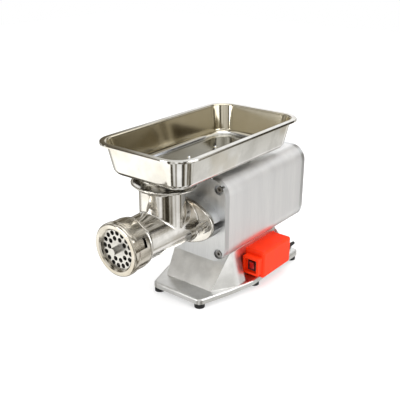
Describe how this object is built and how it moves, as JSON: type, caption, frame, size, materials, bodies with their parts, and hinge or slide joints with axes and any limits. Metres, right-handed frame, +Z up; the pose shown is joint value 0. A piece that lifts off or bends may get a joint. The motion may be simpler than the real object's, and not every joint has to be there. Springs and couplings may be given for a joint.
{
  "type": "electric meat grinder",
  "caption": "Bench-top electric meat grinder: motor housing on a flared pedestal, screw-fed grinding head with perforated plate and ring nut, deep feed tray and a side switch box.",
  "frame": {"origin": "on the bench, under the middle of the machine's length and width, level with the underside of the rubber feet", "axes": "+Z up; -Y is the front, where the cutting plate and ring nut are; +X is the side with the switch box"},
  "size_m": [0.23, 0.518, 0.35],
  "materials": {
    "cast_aluminium": "satin cast and polished",
    "brushed_aluminium": "fine brushed satin",
    "plate_aluminium": "satin",
    "black_rubber": "matte",
    "zinc_steel": "bright",
    "sheet_steel": "satin",
    "bearing_steel": "ground",
    "gear_steel": "machined",
    "laminations": "stacked sheet",
    "copper_wire": "enamelled",
    "black_plastic": "matte",
    "capacitor_case": "matte",
    "orange_plastic": "semi-gloss",
    "rocker_plastic": "gloss",
    "red_lens": "clear red",
    "polished_head": "polished",
    "plate_steel": "ground",
    "tray_steel": "mirror polished"
  },
  "bodies": {
    "frame": {"base_cover": "sheet_steel", "cable_gland": "black_plastic", "capacitor_clip": "sheet_steel", "countershaft_bearing_front": "bearing_steel", "countershaft_bearing_rear": "bearing_steel", "cutting_plate": "plate_steel", "end_winding_front": "copper_wire", "end_winding_rear": "copper_wire", "foot_screws": "zinc_steel", "front_plate": "plate_aluminium", "front_plate_screws": "zinc_steel", "gearbox_pillars": "zinc_steel", "gearbox_screws": "zinc_steel", "gearbox_wall": "plate_aluminium", "gland_lock_nut": "black_plastic", "gland_nut": "black_plastic", "grinder_head": "polished_head", "head_studs": "zinc_steel", "head_washers": "zinc_steel", "motor_bearing_front": "bearing_steel", "motor_bearing_rear": "bearing_steel", "motor_front_bracket": "plate_aluminium", "motor_housing": "brushed_aluminium", "motor_rear_bracket": "plate_aluminium", "motor_through_bolts": "zinc_steel", "oil_seal": "black_rubber", "output_bearing_front": "bearing_steel", "output_bearing_rear": "bearing_steel", "pedestal": "cast_aluminium", "pedestal_bolts": "zinc_steel", "plate_key_pin": "gear_steel", "rear_cover": "plate_aluminium", "rear_cover_screws": "zinc_steel", "rubber_feet": "black_rubber", "run_capacitor": "capacitor_case", "stator_core": "laminations", "switch_body": "black_plastic", "switch_box": "orange_plastic", "switch_box_back": "orange_plastic", "terminal_block": "capacitor_case", "thrust_washer": "bearing_steel", "tray_rest_buttons": "zinc_steel"},
    "tray": {"feed_tray": "tray_steel", "tray_support_straps": "tray_steel", "strap_rivets": "tray_steel"},
    "ring": {"ring_nut": "polished_head"},
    "output_line": {"output_shaft": "gear_steel", "output_gear": "gear_steel", "feed_screw": "polished_head", "screw_stud": "plate_steel", "cross_knife": "plate_steel"},
    "countershaft_line": {"countershaft": "gear_steel", "countershaft_gear": "gear_steel"},
    "rotor": {"rotor_shaft": "gear_steel", "rotor_core": "laminations", "cooling_fan": "black_plastic"},
    "switch_rocker": {"rocker": "rocker_plastic", "rocker_lens": "red_lens"},
    "left_clamp_nut": {"clamp_nut_left": "polished_head"},
    "right_clamp_nut": {"clamp_nut_right": "polished_head"}
  },
  "joints": [
    {"name": "tray_lift", "type": "slide", "parent": "frame", "child": "tray", "axis": [0, 0, 1], "range_m": [0, 0.05]},
    {"name": "ring_nut_turn", "type": "hinge", "parent": "frame", "child": "ring", "pos_m": [0, -0.229, 0.179], "axis": [0, 1, 0], "range_deg": [-180, 180]},
    {"name": "feed_screw_turn", "type": "hinge", "parent": "frame", "child": "output_line", "pos_m": [0, -0.05, 0.179], "axis": [0, 1, 0], "continuous": true},
    {"name": "countershaft_turn", "type": "hinge", "parent": "frame", "child": "countershaft_line", "pos_m": [0.027, 0, 0.13223], "axis": [0, 1, 0], "continuous": true},
    {"name": "rotor_turn", "type": "hinge", "parent": "frame", "child": "rotor", "pos_m": [0.00675, 0.1, 0.16731], "axis": [0, 1, 0], "continuous": true},
    {"name": "rocker_tilt", "type": "hinge", "parent": "frame", "child": "switch_rocker", "pos_m": [0.094, 0.0575, 0.05525], "axis": [1, 0, 0], "range_deg": [-16, 0]},
    {"name": "left_nut_turn", "type": "hinge", "parent": "frame", "child": "left_clamp_nut", "pos_m": [-0.063, -0.077, 0.179], "axis": [0, 1, 0], "range_deg": [-180, 180]},
    {"name": "right_nut_turn", "type": "hinge", "parent": "frame", "child": "right_clamp_nut", "pos_m": [0.063, -0.077, 0.179], "axis": [0, 1, 0], "range_deg": [-180, 180]}
  ],
  "couplings": [
    {"joint": "countershaft_turn", "follows": "feed_screw_turn", "ratio": -2.6},
    {"joint": "rotor_turn", "follows": "feed_screw_turn", "ratio": 7.4286}
  ]
}
